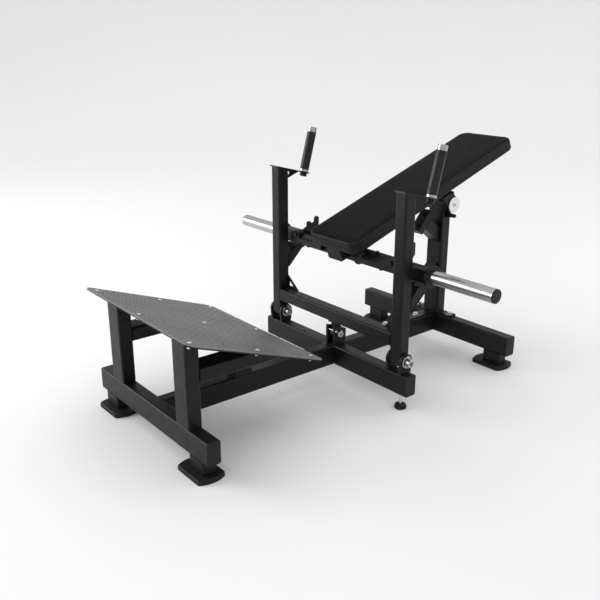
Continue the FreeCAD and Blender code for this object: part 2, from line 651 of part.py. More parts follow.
def make_hinge():
    lug = body("side_hinge_lug")
    pad(lug, "X", "0", "lug_plate",
        polygon(("0", BASE_TOP), ("tube_width", BASE_TOP),
                ("hinge_y + lug_radius", "hinge_z"), ("hinge_y - lug_radius", "hinge_z")))
    pad(lug, "X", "0", "lug_plate", circle("hinge_y", "hinge_z", "lug_radius"))
    pocket(lug, "X", "0", "lug_plate", circle("hinge_y", "hinge_z", "pin_radius"))
    publish(copies("side_hinge_lugs", [lug],
                   [("%slug_x %s" % (side, offset), "0", "0", 0) for side in ("", "-")
                    for offset in ("+ lug_gap", "- lug_gap - lug_plate")]))

    ear = body("centre_hinge_plate")
    pad(ear, "X", "ear_inner", "tube_width/2",
        polygon(("0", BASE_TOP), ("ear_rear_y", BASE_TOP), ("ear_rear_y", "ear_rear_z"),
                ("0", "ear_front_z")))
    pocket(ear, "X", "ear_inner", "tube_width/2", circle("hinge_y", "hinge_z", "pin_radius"))
    pocket(ear, "X", "ear_inner", "tube_width/2", circle("tilt_bolt_y", "tilt_bolt_z", "tilt_bolt"))
    rear_stop = body("bumper_plate")
    pad(rear_stop, "X", "-ear_inner", "ear_inner",
        polygon(("ear_rear_y - sheet", BASE_TOP), ("ear_rear_y", BASE_TOP),
                ("ear_rear_y", "ear_rear_z"), ("ear_rear_y - sheet", "ear_rear_z")))
    assemble("centre_hinge_plates", ear, mirrored(ear, "centre_hinge_plate_left"), rear_stop)
    bumper = publish(body("tilt_bumper"))
    pad(bumper, "X", "-arm_half", "arm_half",
        polygon(("bumper_y", "bumper_z"), ("ear_rear_y - sheet", "bumper_z"),
                ("ear_rear_y - sheet", "ear_rear_z"), ("bumper_y", "ear_rear_z")))

    outer = "lug_gap + lug_plate"
    head_end = outer + " + pin_head_end"
    side_pin = turned("side_hinge_pin", "X",
                      [("-(%s) - pin_end" % outer, "0"), ("-(%s) - pin_end" % outer, "pin_radius"),
                       (outer, "pin_radius"), (outer, "pin_washer"), (outer + " + 4", "pin_washer"),
                       (outer + " + 6", "pin_washer - 2"), (outer + " + 6", "pin_neck"),
                       (outer + " + pin_neck", "pin_neck"), (outer + " + pin_neck", "pin_head"),
                       (head_end + " - 2", "pin_head"), (head_end, "pin_head - 2"),
                       (head_end, "0")])
    pocket(side_pin, "X", head_end + " - pin_socket_depth", head_end, hexagon("pin_socket"))
    side_nut = nut("side_hinge_nut", "X", "-(%s) - pin_nut_depth" % outer, "-(%s)" % outer,
                   "pin_nut", "pin_radius")
    ear_face = "tube_width/2"
    arm_pin_face = ear_face + " + arm_pin_head_end"
    at = ("0", "hinge_y", "hinge_z")
    centre_pin = turned("centre_hinge_pin", "X",
                        [("-%s - arm_pin_end" % ear_face, "0"),
                         ("-%s - arm_pin_end" % ear_face, "pin_radius"),
                         (ear_face, "pin_radius"), (ear_face, "arm_pin_head"),
                         (arm_pin_face + " - 2", "arm_pin_head"),
                         (arm_pin_face, "arm_pin_head - 2"), (arm_pin_face, "0")], at=at)
    pocket(centre_pin, "X", arm_pin_face + " - arm_pin_socket_depth", arm_pin_face,
           hexagon("arm_pin_socket"))
    centre_nut = nut("centre_hinge_nut", "X", "-%s - arm_pin_nut_depth" % ear_face,
                     "-%s" % ear_face, "arm_pin_nut", "pin_radius")
    place(centre_nut, "machine", *at)
    head = ear_face + " + tilt_bolt_head"
    tilt_bolt = turned("tilt_bolt", "X",
                       [("-(%s)" % head, "0"), ("-(%s)" % head, "tilt_bolt_head"),
                        ("-" + ear_face, "tilt_bolt_head"), ("-" + ear_face, "tilt_bolt"),
                        (ear_face, "tilt_bolt"), (ear_face, "tilt_bolt_head"),
                        (head, "tilt_bolt_head"), (head, "0")],
                       at=("0", "tilt_bolt_y", "tilt_bolt_z"))
    sides = copies("side_hinge_pins", [side_pin, side_nut],
                   [("lug_x", "hinge_y", "hinge_z", 0), ("-lug_x", "hinge_y", "hinge_z", 0)])
    assemble("catch_hinge_pins", sides, centre_pin, centre_nut, tilt_bolt)


# Rear post, its brace and plates, the pivot housing and the lower stop.

def slanted_tube(label, left, right, outline):
    """A square tube cut at its ends by the pieces it meets. The outline takes how far the
    section is set in and gives its side view."""
    item = body(label)
    pad(item, "X", left, right, outline("0"))
    pocket(item, "X", left + " + wall", right + " - wall", outline("wall"))
    return item


def brace_outline(inset):
    reach = "(rear_y - brace_y)*tan(brace_angle)"
    low, high = "(%s)/sin(brace_angle)" % inset, "(tube_width - %s)/sin(brace_angle)" % inset
    top, bottom = "(%s)/cos(brace_angle)" % inset, "(tube_width - %s)/cos(brace_angle)" % inset
    return polygon(("brace_y + " + low, PLATE_TOP), ("brace_y + " + high, PLATE_TOP),
                   ("rear_y", "%s + %s - %s" % (PLATE_TOP, reach, bottom)),
                   ("rear_y", "%s + %s - %s" % (PLATE_TOP, reach, top)))


def make_rear_post():
    post = publish(tube("rear_post", "Z", PLATE_TOP, "pivot_z", ("0", "pivot_y"),
                        ("post_width", "tube_width")))
    pocket(post, "X", "-post_width", "post_width", circle("pivot_y", "pivot_z", "housing_radius"))
    pocket(post, "X", "post_width/2 - wall", "post_width/2",
           circle("pivot_y", "lock_z", "lock_radius + running"))
    publish(turned("pivot_housing", "X",
                   [("-housing_half", "bearing_radius"), ("-housing_half", "housing_radius"),
                    ("housing_half", "housing_radius"), ("housing_half", "bearing_radius")],
                   at=("0", "pivot_y", "pivot_z")))
    bearing = turned("pivot_bearing", "X",
                     [("housing_half - bearing_width", "shaft_radius + running"),
                      ("housing_half - bearing_width", "bearing_radius"),
                      ("housing_half", "bearing_radius"),
                      ("housing_half", "shaft_radius + running")],
                     at=("0", "pivot_y", "pivot_z"))
    both_sides("pivot_bearings", bearing)

    base_plate = body("post_base_plate")
    pad(base_plate, "Z", BASE_TOP, PLATE_TOP,
        rectangle("0", "pivot_y", "2*base_plate_half", "base_plate_width"))
    pocket(base_plate, "Z", BASE_TOP, PLATE_TOP, circle("post_bolt_x", "pivot_y", "frame_bolt"),
           circle("-post_bolt_x", "pivot_y", "frame_bolt"))
    spine_plate = body("spine_plate")
    pad(spine_plate, "Z", BASE_TOP, PLATE_TOP,
        polygon(("-tube_width/2", "spine_plate_y"), ("tube_width/2", "spine_plate_y"),
                ("tube_width/2", "rear_y"), ("-tube_width/2", "rear_y")))
    pocket(spine_plate, "Z", BASE_TOP, PLATE_TOP,
           circle("0", "spine_bolt_front", "frame_bolt"),
           circle("0", "spine_bolt_rear", "frame_bolt"))
    assemble("mounting_plates", base_plate, spine_plate)
    publish(slanted_tube("diagonal_brace", "-tube_width/2", "tube_width/2", brace_outline))

    bolt = body("frame_bolt")
    pad(bolt, "Z", "0", "frame_washer_depth", circle("0", "0", "frame_washer"))
    pad(bolt, "Z", "frame_washer_depth", "frame_bolt_top", hexagon("frame_bolt_head"))
    pad(bolt, "Z", "frame_bolt_low", "0", circle("0", "0", "frame_bolt"))
    round_edges(bolt, "1", level_with("frame_bolt_top"), "Chamfer")
    return copies("plate_bolts", [bolt],
                  [("post_bolt_x", "pivot_y", PLATE_TOP, 0),
                   ("-post_bolt_x", "pivot_y", PLATE_TOP, 0),
                   ("0", "spine_bolt_front", PLATE_TOP, 0),
                   ("0", "spine_bolt_rear", PLATE_TOP, 0)])


def stub_outline(inset):
    """The stub runs square to the stop's face, from its block back to the post."""
    corners = []
    for along_face in ("(stop_length - tube_width)/2 + %s" % inset,
                       "(stop_length + tube_width)/2 - %s" % inset):
        y = "(stop_y + (%s)*cos(stop_slope) + stop_depth*sin(stop_slope))" % along_face
        z = "(stop_z + (%s)*sin(stop_slope) - stop_depth*cos(stop_slope))" % along_face
        corners.append(((y, z), ("rear_y", "%s - (rear_y - %s)/tan(stop_slope)" % (z, y))))
    (low_start, low_end), (high_start, high_end) = corners
    return polygon(low_start, low_end, high_end, high_start)


def make_lower_stop(plate_bolts):
    block = body("lower_stop_block", "stop")
    pad(block, "Z", "-stop_depth", "0",
        rectangle("0", "stop_length/2", "2*stop_half", "stop_length"))
    pocket(block, "Z", "-stop_depth", "0", circle("0", "stop_bolt_low", "stop_bolt"),
           circle("0", "stop_bolt_high", "stop_bolt"))
    round_edges(block, "2", along("Z"))
    stub = slanted_tube("lower_stop_stub", "-tube_width/2", "tube_width/2", stub_outline)
    assemble("lower_stop_bracket", block, stub)
    bolt = turned("lower_stop_bolt", "Z",
                  [("0", "4 - stop_depth"), ("stop_bolt", "4 - stop_depth"),
                   ("stop_bolt", "0"), ("stop_bolt_head", "0"),
                   ("stop_bolt_head", "stop_bolt_top - 1"),
                   ("stop_bolt_head - 1", "stop_bolt_top"), ("0", "stop_bolt_top")])
    pocket(bolt, "Z", "stop_bolt_top/2", "stop_bolt_top", hexagon("stop_bolt_socket"))
    stop_bolts = copies("stop_bolts", [bolt],
                        [("0", "stop_bolt_low", "0", 0), ("0", "stop_bolt_high", "0", 0)],
                        "stop")
    assemble("frame_bolts", plate_bolts, stop_bolts)


def make_lock_pin():
    at = ("0", "pivot_y", "lock_z")
    face = "post_width/2"
    bore = "lock_radius + running"
    barrel_end = face + " + lock_barrel_end"
    knob_start, knob_end = face + " + lock_knob_start", face + " + lock_knob_end"
    publish(turned("lock_pin_barrel", "X",
                   [(face, bore), (face, "lock_flange"), (face + " + 3", "lock_flange"),
                    (face + " + 3", "lock_barrel"), (barrel_end + " - 1", "lock_barrel"),
                    (barrel_end, "lock_barrel - 1"), (barrel_end, bore)], at=at))
    publish(turned("lock_pin", "X",
                   [(face + " - lock_reach", "0"), (face + " + 2 - lock_reach", "lock_radius"),
                    (knob_start, "lock_radius"), (knob_start, "lock_knob - 1"),
                    (knob_start + " + 2", "lock_knob"), (knob_end + " - 4", "lock_knob"),
                    (knob_end + " - 1", "lock_knob - 1.5"), (knob_end, "lock_knob/2"),
                    (knob_end, "0")], at=at))


# Catch frame: two uprights with bosses, a crossbar, struts that hold the parked beam, hand
# grips on sloping plates, and an arm down to the centre hinge.

def under_handle(y):
    """Height of the underside of the plate on an upright at one Y."""
    return "(handle_z - (%s)*tan(handle_slope) - handle_plate/cos(handle_slope))" % y


def strut_outline(inset):
    """The strut runs at 45 degrees from the upright's rear face to the rest plate."""
    low = "strut_low + (%s)*sqrt(2)" % inset
    high = "strut_high - (%s)*sqrt(2)" % inset
    top = "rest_z + rest_y*tan(rest_slope) - 2*sheet/cos(rest_slope)"
    front = "(%s - (%s))/(1 + tan(rest_slope))" % (top, high)
    rear = "(%s - (%s))/(1 + tan(rest_slope))" % (top, low)
    return polygon(("tube_width", "tube_width + " + low), (rear, "%s + %s" % (rear, low)),
                   (front, "%s + %s" % (front, high)), ("tube_width", "tube_width + " + high))


def make_uprights():
    left, right = "lug_x - tube_width/2", "lug_x + tube_width/2"
    upright = publish(tube("catch_upright_right", "Z", "hinge_z", "handle_z",
                           ("lug_x", "hinge_y"), ("tube_width", "tube_width")))
    pocket(upright, "X", left, right,
           polygon(("-wall", under_handle("-wall")),
                   ("tube_width + wall", under_handle("tube_width + wall")),
                   ("tube_width + wall", "handle_z + wall"), ("-wall", "handle_z + wall")))
    pad(upright, "X", left, right, circle("hinge_y", "hinge_z", "boss_radius"))
    pocket(upright, "X", left, right, circle("hinge_y", "hinge_z", "bush_radius"))
    publish(mirrored(upright, "catch_upright_left"))

    publish(tube("catch_crossbar", "X", "-(%s)" % left, left,
                 ("hinge_y", "catch_bar_z + tube_width/2"), ("tube_width", "tube_width")))

    flange = "tube_width/2"
    bush = turned("catch_bush", "X",
                  [("1", BORE), ("1", "bush_radius"), (flange, "bush_radius"),
                   (flange, "bush_radius + 6"), (flange + " + bush_flange", "bush_radius + 6"),
                   (flange + " + bush_flange", BORE)])
    publish(copies("catch_bushes", [bush],
                   [("%slug_x" % side, "hinge_y", "hinge_z", turn)
                    for side in ("", "-") for turn in (0, 180)]))


def make_catch_plates():
    left, right = "lug_x - tube_width/2", "lug_x + tube_width/2"
    bar_top = "catch_bar_z + tube_width"
    gusset = body("catch_gusset")
    rear = "tube_width - gusset_set_back"
    pad(gusset, "Y", rear + " - sheet", rear,
        polygon((left, bar_top), (left, bar_top + " + gusset_z"),
                (left + " - gusset_x", bar_top)))
    pocket(gusset, "Y", rear + " - sheet", rear,
           polygon((left + " - 8", bar_top + " + 9"), (left + " - 8", bar_top + " + 30"),
                   (left + " - 16", bar_top + " + 30"), (left + " - 34", bar_top + " + 16"),
                   (left + " - 34", bar_top + " + 9")))
    both_sides("catch_gussets", gusset)

    both_sides("catch_struts", slanted_tube("catch_strut", left, right, strut_outline))
    for label, low, high in (("rest_plate", "-2*sheet", "-sheet"), ("rest_rubber", "-sheet", "0")):
        layer = body(label, "rest")
        pad(layer, "Z", low, high,
            polygon((left, "0"), (right, "0"), (right, "rest_length"), (left, "rest_length")))
        both_sides(label + "s", layer)

    arm = publish(body("catch_centre_arm"))
    pad(arm, "X", "-arm_half", "arm_half",
        polygon(("arm_front", "hinge_z"), ("arm_rear", "hinge_z"), ("arm_rear", "catch_bar_z"),
                ("arm_front", "catch_bar_z")))
    pad(arm, "X", "-arm_half", "arm_half", circle("hinge_y", "hinge_z", "arm_round"))
    pad(arm, "X", "-tube_width/2", "tube_width/2",
        polygon(("arm_front - 4", "catch_bar_z - thick_plate"),
                ("arm_rear", "catch_bar_z - thick_plate"), ("arm_rear", "catch_bar_z"),
                ("arm_front - 4", "catch_bar_z")))
    pocket(arm, "X", "-arm_half", "arm_half", circle("hinge_y", "hinge_z", BORE))


def make_handles():
    left, right = "lug_x - tube_width/2", "lug_x + tube_width/2"
    plate = body("handle_plate", "handle")
    pad(plate, "Z", "-handle_plate", "0",
        polygon((left, "-sheet"), (right, "-sheet"), (right, "handle_plate_end"),
                (left, "handle_plate_end")))
    rear_half = value("handle_plate_end/2")
    round_edges(plate, "tube_width/2 - 1", along("Z", lambda centre: centre.y > rear_half))
    pocket(plate, "Z", "-handle_plate", "0", circle("lug_x", "handle_y", "rod_radius"))
    web = body("handle_gusset")
    reach = "tube_width + gusset_x"
    pad(web, "X", "lug_x - sheet/2", "lug_x + sheet/2",
        polygon(("tube_width", "web_low"), (reach, under_handle(reach)),
                ("tube_width", under_handle("tube_width"))))
    pocket(web, "X", "lug_x - sheet/2", "lug_x + sheet/2",
           circle("web_hole_y", "web_hole_z", "web_hole"))
    ends = [("lug_x", "handle_y", "0", 0), ("-lug_x", "handle_y", "0", 0)]
    boss_end = "-handle_plate - boss_depth"
    boss = turned("handle_boss", "Z",
                  [("rod_radius", boss_end), ("handle_boss - 1", boss_end),
                   ("handle_boss", boss_end + " + 1"), ("handle_boss", "-handle_plate"),
                   ("rod_radius", "-handle_plate")])
    assemble("handle_plates", plate, mirrored(plate, "handle_plate_left"), web,
             mirrored(web, "handle_gusset_left"), copies("handle_bosses", [boss], ends, "handle"))

    tip_top = "grip_high + tip_height"
    rod_top = tip_top + " - 8"
    rod = turned("handle_rod", "Z",
                 [("0", boss_end + " + 4"), ("rod_radius", boss_end + " + 4"),
                  ("rod_radius", rod_top), ("0", rod_top)])
    collar = turned("handle_collar", "Z",
                    [("rod_radius", "0"), ("grip_radius - 1", "0"), ("grip_radius", "1"),
                     ("grip_radius", "grip_low - 1"), ("grip_radius - 1", "grip_low"),
                     ("rod_radius", "grip_low")])
    tip = turned("handle_tip", "Z",
                 [("rod_radius", "grip_high"), ("grip_radius - 0.6", "grip_high"),
                  ("grip_radius - 0.6", tip_top + " - 2"), ("grip_radius - 2.6", tip_top),
                  ("0", tip_top), ("0", rod_top), ("rod_radius", rod_top)])
    grip = turned("handle_grip", "Z",
                  [("rod_radius", "grip_low"), ("grip_radius - 1", "grip_low"),
                   ("grip_radius", "grip_low + 1"), ("grip_radius", "grip_high - 1"),
                   ("grip_radius - 1", "grip_high"), ("rod_radius", "grip_high")])
    publish(copies("handle_rods", [rod], ends, "handle"))
    publish(copies("handle_ferrules", [collar, tip], ends, "handle"))
    publish(copies("handle_grips", [grip], ends, "handle"))


# Back rest: cushion and board on a support tube that swings on the pivot shaft.

def pad_bolt_holes(radius):
    return [circle("0", "pad_bolt_first + %d*pad_bolt_pitch" % n, radius) for n in range(3)]


def make_back_rest():
    frame = "back rest"
    block = body("cushion_block", frame)
    pad(block, "Z", "-pad_depth", "0",
        rectangle("0", "pad_length/2", "2*pad_half", "pad_length"))
    round_edges(block, "pad_corner", along("Z"))
    round_edges(block, "pad_round", level_with("0"))
    board_size = ("2*(pad_half - board_inset)", "pad_length - 2*board_inset")
    board = publish(body("pad_board", frame))
    pad(board, "Z", "-pad_depth", "board_depth - pad_depth",
        rectangle("0", "pad_length/2", *board_size))
    round_edges(board, "pad_corner - board_inset", along("Z"))
    recess = body("cushion_recess", frame)
    pad(recess, "Z", "-pad_depth", "board_depth - pad_depth",
        rectangle("0", "pad_length/2", *board_size))
    round_edges(recess, "pad_corner - board_inset", along("Z"))
    cushion = doc.addObject("Part::Cut", "pad_cushion")
    cushion.Base = block
    cushion.Tool = recess
    publish(cushion)
    pocket(board, "Z", "-pad_depth", "-pad_depth + pad_bolt_reach + 1",
           *pad_bolt_holes("pad_bolt"))

    support = tube("support_tube", "Y", "support_front", "support_rear",
                   ("0", "-pad_depth - tube_width/2"), ("tube_height", "tube_width"), frame)
    pocket(support, "Z", "-pad_depth - tube_width", "-pad_depth", *pad_bolt_holes("pad_bolt"))
    beam_space = doc.addObject("Part::Box", "beam_space")
    for size, text in (("Length", "2*tube_height"), ("Width", "tube_width"),
                       ("Height", "tube_width")):
        beam_space.setExpression(size, ex(text))
    place(beam_space, "machine", "-tube_height", "beam_y - tube_width/2", "beam_z - tube_width/2")
    notched = doc.addObject("Part::Cut", "pad_support_tube")
    notched.Base = support
    notched.Tool = beam_space
    publish(notched)

    cap = body("support_cap")
    pad(cap, "Y", "-cap_flange", "0", rectangle("0", "0", "tube_height", "tube_width"))
    round_edges(cap, "tube_corner", along("Y"))
    pad(cap, "Y", "0", "cap_plug",
        rectangle("0", "0", "tube_height - 2*wall", "tube_width - 2*wall"))
    middle = "-pad_depth - tube_width/2"
    support_caps = copies("support_tube_caps", [cap],
                          [("0", "support_front", middle, 0), ("0", "support_rear", middle, 180)],
                          frame)

    bolt = turned("pad_bolt", "Z",
                  [("0", "pad_bolt_low"), ("pad_bolt_head - 1", "pad_bolt_low"),
                   ("pad_bolt_head", "pad_bolt_low + 1"), ("pad_bolt_head", "0"),
                   ("pad_bolt", "0"), ("pad_bolt", "tube_width + pad_bolt_reach"),
                   ("0", "tube_width + pad_bolt_reach")])
    publish(copies("pad_bolts", [bolt],
                   [("0", "pad_bolt_first + %d*pad_bolt_pitch" % n, "-pad_depth - tube_width", 0)
                    for n in range(3)], frame))
    return support_caps


def make_pivot():
    frame = "back rest"
    under_tube = "-pad_depth - tube_width"
    bracket = publish(body("pivot_bracket", frame))
    pad(bracket, "Z", under_tube + " - thick_plate", under_tube,
        polygon(("-bracket_half", "bracket_front"), ("bracket_half", "bracket_front"),
                ("bracket_half", "bracket_rear"), ("-bracket_half", "bracket_rear")))
    for left, right in (("bracket_half - bracket_arm", "bracket_half"),
                        ("-bracket_half", "bracket_arm - bracket_half")):
        pad(bracket, "X", left, right,
            polygon(("bracket_front", under_tube), ("bracket_front", under_tube + " - bracket_step"),
                    (PIVOT_S + " - bracket_round", PIVOT_N),
                    (PIVOT_S + " + bracket_round", PIVOT_N),
                    ("bracket_rear", under_tube + " - bracket_step"), ("bracket_rear", under_tube)))
        pad(bracket, "X", left, right, circle(PIVOT_S, PIVOT_N, "bracket_round"))
        pocket(bracket, "X", left, right, circle(PIVOT_S, PIVOT_N, "shaft_radius"))

    at = ("0", "pivot_y", "pivot_z")
    face = "bracket_half"
    cap_face = "bracket_half + pivot_cap_depth"
    bore_end = "bracket_half - cap_screw_depth"
    publish(turned("pivot_shaft", "X",
                   [("-bracket_half", "cap_screw"), ("-bracket_half", "shaft_radius"),
                    ("bracket_half", "shaft_radius"), ("bracket_half", "cap_screw"),
                    (bore_end, "cap_screw"), (bore_end, "0"), ("-(%s)" % bore_end, "0"),
                    ("-(%s)" % bore_end, "cap_screw")], at=at))
    disc = turned("pivot_cap", "X",
                  [(face, "cap_screw"), (face, "housing_radius"),
                   (cap_face + " - 1", "housing_radius"), (cap_face, "housing_radius - 1"),
                   (cap_face, "cap_screw")], at=at)
    screw = turned("pivot_cap_screw", "X",
                   [(bore_end, "0"), (bore_end, "cap_screw"), (cap_face, "cap_screw"),
                    (cap_face, "cap_screw_head"), (cap_face + " + 3", "cap_screw_head - 1"),
                    (cap_face + " + 4", "cap_screw_head - 3"), (cap_face + " + 4", "0")], at=at)
    pocket(screw, "X", cap_face + " - 2", cap_face + " + 4", hexagon("cap_screw"))
    assemble("pivot_caps", disc, mirrored(disc, "pivot_cap_left"), screw,
             mirrored(screw, "pivot_cap_screw_left"))


# Weight beam, its sleeves, and the belt brackets on it.

def make_beam(support_caps):
    high = "beam_z + tube_width/2"
    beam = publish(tube("weight_beam", "X", "-beam_half", "beam_half", ("beam_y", "beam_z"),
                        ("tube_width", "tube_width")))
    pocket(beam, "Z", high + " - wall", high, circle("belt_knob_x", "beam_y", "belt_stem"),
           circle("-belt_knob_x", "beam_y", "belt_stem"))
    at = ("0", "beam_y", "beam_z")
    root = "beam_half + collar_depth"
    collar = turned("sleeve_collar", "X",
                    [("beam_half", "0"), ("beam_half", "collar_radius"),
                     (root + " - 1", "collar_radius"), (root, "collar_radius - 1"),
                     (root, "0")], at=at)
    both_sides("sleeve_collars", collar)
    tube_end = "sleeve_end - cap_flange"
    sleeve = publish(turned("weight_sleeve_right", "X",
                            [(root, "sleeve_radius - sleeve_wall"), (root, "sleeve_radius"),
                             (tube_end, "sleeve_radius"),
                             (tube_end, "sleeve_radius - sleeve_wall")], at=at))
    publish(mirrored(sleeve, "weight_sleeve_left"))
    plug = turned("sleeve_cap", "X",
                  [(tube_end + " - cap_plug", "0"),
                   (tube_end + " - cap_plug", "sleeve_radius - sleeve_wall"),
                   (tube_end, "sleeve_radius - sleeve_wall"), (tube_end, "sleeve_radius - 0.5"),
                   ("sleeve_end - 1", "sleeve_radius - 0.5"), ("sleeve_end", "sleeve_radius - 2"),
                   ("sleeve_end", "0")], at=at)
    assemble("back_rest_end_caps", support_caps, plug, mirrored(plug, "sleeve_cap_left"))


def make_belt_hooks():
    """Brackets along the beam's front, a knob on its top, and the hooks on its rear."""
    front = "beam_y - tube_width/2"
    rear = "beam_y + tube_width/2"
    face = front + " - belt_plate"
    low, high = "beam_z - 13", "beam_z + tube_width/2"
    plate = body("belt_bracket")
    pad(plate, "Y", face, front,
        polygon(("belt_lobe_x", low), ("belt_bar_inner", low),
                ("belt_bar_inner", high), ("belt_lobe_x", high)))
    pad(plate, "Y", face, front, circle("belt_lobe_x", "beam_z", "belt_lobe_radius"))
    bar = body("belt_bar")
    bar_face = front + " - belt_bar_depth"
    slant_y, slant_z = bar_face + " + belt_bar_slant", "belt_bar_edge + belt_bar_slant"
    pad(bar, "X", "belt_bar_inner", "belt_bar_outer",
        polygon((front, "belt_bar_low"), (bar_face, "belt_bar_low"), (bar_face, "belt_bar_edge"),
                (slant_y, slant_z), (front, high)))
    pad(bar, "Y", bar_face, front, circle("belt_ear_x", "belt_ear_z", "belt_ear_radius"))
    pad(bar, "Z", "belt_bar_low - belt_boss_depth", "belt_bar_low",
        circle("belt_boss_x", bar_face + " + belt_bar_depth/2", "belt_boss"))
    assemble("belt_brackets", plate, bar, mirrored(plate, "belt_bracket_left"),
             mirrored(bar, "belt_bar_left"))

    hook = body("belt_hook")
    left, right = "hook_x - belt_plate/2", "hook_x + belt_plate/2"
    pad(hook, "X", left, right,
        polygon((front + " + 10", high), (rear, high), (rear, high + " - 24"),
                (rear + " + 24", high + " - 6"), ("hook_rear_y + hook_prong", high + " + 12"),
                ("hook_rear_y + hook_prong", "hook_rear_z"),
                ("hook_rear_y - hook_prong", "hook_rear_z"),
                ("hook_rear_y - hook_prong", "hook_front_z + 6"), (rear + " + 11", "hook_front_z"),
                ("hook_front_y + hook_prong", "hook_front_z + 2"),
                ("hook_front_y - hook_prong", "hook_front_z"),
                ("hook_front_y - hook_prong", high + " + 25"), (front + " + 10", high + " + 14")))
    pad(hook, "X", left, right, circle("hook_rear_y", "hook_rear_z", "hook_prong"))
    pad(hook, "X", left, right, circle("hook_front_y", "hook_front_z", "hook_prong"))
    knob = turned("belt_knob", "Z",
                  [("0", "-wall"), ("belt_stem", "-wall"), ("belt_stem", "0"),
                   ("belt_knob", "0"), ("belt_knob", "belt_knob_top - 8"),
                   ("belt_knob - 2", "belt_knob_top - 7"),
                   ("belt_knob - 2", "belt_knob_top - 3"),
                   ("belt_knob - 5", "belt_knob_top"), ("0", "belt_knob_top")],
                  at=("belt_knob_x", "beam_y", high))
    bolt = body("belt_bolt")
    pad(bolt, "Y", "0", "belt_bolt_depth", hexagon("belt_bolt"))
    place(bolt, "machine", "belt_ear_x", bar_face + " - belt_bolt_depth", "belt_ear_z")
    pieces = [hook, knob, bolt]
    assemble("belt_hooks", *pieces, *[mirrored(p, p.Name + "_left") for p in pieces])


def check_and_export():
    doc.recompute()
    for item in doc.Objects:
        if "Invalid" in item.State or "Error" in item.State:
            raise RuntimeError("%s failed to build" % item.Label)
    for item in subparts:
        if item.Shape.isNull() or not item.Shape.isValid() or not item.Shape.Solids:
            raise RuntimeError("%s has no valid shape" % item.Label)
    os.makedirs("parts", exist_ok=True)
    box = FreeCAD.BoundBox()
    for item in subparts:
        item.Shape.exportStep("parts/%s.step" % item.Label)
        box.add(item.Shape.BoundBox)
        print("%-24s %2d solids %12.0f mm3" % (item.Label, len(item.Shape.Solids), item.Shape.Volume))
    print("%d sub-parts, %s" % (len(subparts), box))


make_base()
make_feet()
make_levellers()
make_platform()
make_hinge()
make_lower_stop(make_rear_post())
make_lock_pin()
make_uprights()
make_catch_plates()
make_handles()
make_beam(make_back_rest())
make_pivot()
make_belt_hooks()
check_and_export()
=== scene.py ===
"""Looks of the hip thrust machine: materials, upholstery, tread pattern, studio and camera.

Metres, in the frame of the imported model: X across, +Y to the rear post, +Z up, floor at Z = 0.
Constants of the cushion and of the tread pattern are in millimetres, those of the studio in metres.
"""
import json
import math

import bmesh
import bpy
from mathutils import Matrix, Vector


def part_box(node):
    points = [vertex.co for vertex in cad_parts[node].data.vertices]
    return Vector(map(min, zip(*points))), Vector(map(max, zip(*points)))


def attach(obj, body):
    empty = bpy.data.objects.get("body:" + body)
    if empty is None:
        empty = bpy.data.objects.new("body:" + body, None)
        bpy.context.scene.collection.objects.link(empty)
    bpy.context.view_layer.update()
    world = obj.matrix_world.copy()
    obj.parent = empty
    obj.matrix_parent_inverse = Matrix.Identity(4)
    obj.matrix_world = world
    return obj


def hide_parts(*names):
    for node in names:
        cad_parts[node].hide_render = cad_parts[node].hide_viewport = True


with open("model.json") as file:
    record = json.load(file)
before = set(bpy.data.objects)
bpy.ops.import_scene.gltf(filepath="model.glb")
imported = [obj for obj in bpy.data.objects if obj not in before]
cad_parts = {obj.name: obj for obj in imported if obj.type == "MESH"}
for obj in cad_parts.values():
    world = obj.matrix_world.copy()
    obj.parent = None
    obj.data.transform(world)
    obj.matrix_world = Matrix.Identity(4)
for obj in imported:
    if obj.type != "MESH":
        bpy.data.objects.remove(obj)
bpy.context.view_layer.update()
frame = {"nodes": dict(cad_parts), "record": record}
nodes = frame["nodes"]

MM = 0.001


# ---------------------------------------------------------------- shader nodes

def principled(name, color, roughness, metallic=0.0, **sockets):
    """A material with its Principled shader; sockets are set by name, with _ for a space."""
    material = bpy.data.materials.new(name)
    material.use_nodes = True
    shader = material.node_tree.nodes["Principled BSDF"]
    shader.inputs["Base Color"].default_value = (*color, 1)
    shader.inputs["Roughness"].default_value = roughness
    shader.inputs["Metallic"].default_value = metallic
    for socket, setting in sockets.items():
        shader.inputs[socket.replace("_", " ")].default_value = setting
    return material, material.node_tree, shader


def node(tree, kind, **settings):
    """A shader node; a setting is an input socket if it has one of that name, or else a property."""
    made = tree.nodes.new("ShaderNode" + kind)
    for key, setting in settings.items():
        if key in made.inputs:
            made.inputs[key].default_value = setting
        else:
            setattr(made, key, setting)
    return made


def coordinates(tree, stretch=(1, 1, 1)):
    """Places on the piece itself, stretched along its axes."""
    place = node(tree, "TexCoord")
    mapping = node(tree, "Mapping", Scale=stretch)
    tree.links.new(place.outputs["Object"], mapping.inputs["Vector"])
    return mapping.outputs["Vector"]


def noise(tree, where, scale, detail=2.0, roughness=0.5):
    texture = node(tree, "TexNoise", Scale=scale, Detail=detail, Roughness=roughness)
    tree.links.new(where, texture.inputs["Vector"])
    return texture.outputs["Fac"]


def spread(tree, factor, low=0.0, high=1.0, start=0.3, end=0.7):
    """Maps the part of a factor from start to end to the range from low to high."""
    ramp = node(tree, "MapRange")
    ramp.inputs["From Min"].default_value = start
    ramp.inputs["From Max"].default_value = end
    ramp.inputs["To Min"].default_value = low
    ramp.inputs["To Max"].default_value = high
    tree.links.new(factor, ramp.inputs["Value"])
    return ramp.outputs["Result"]


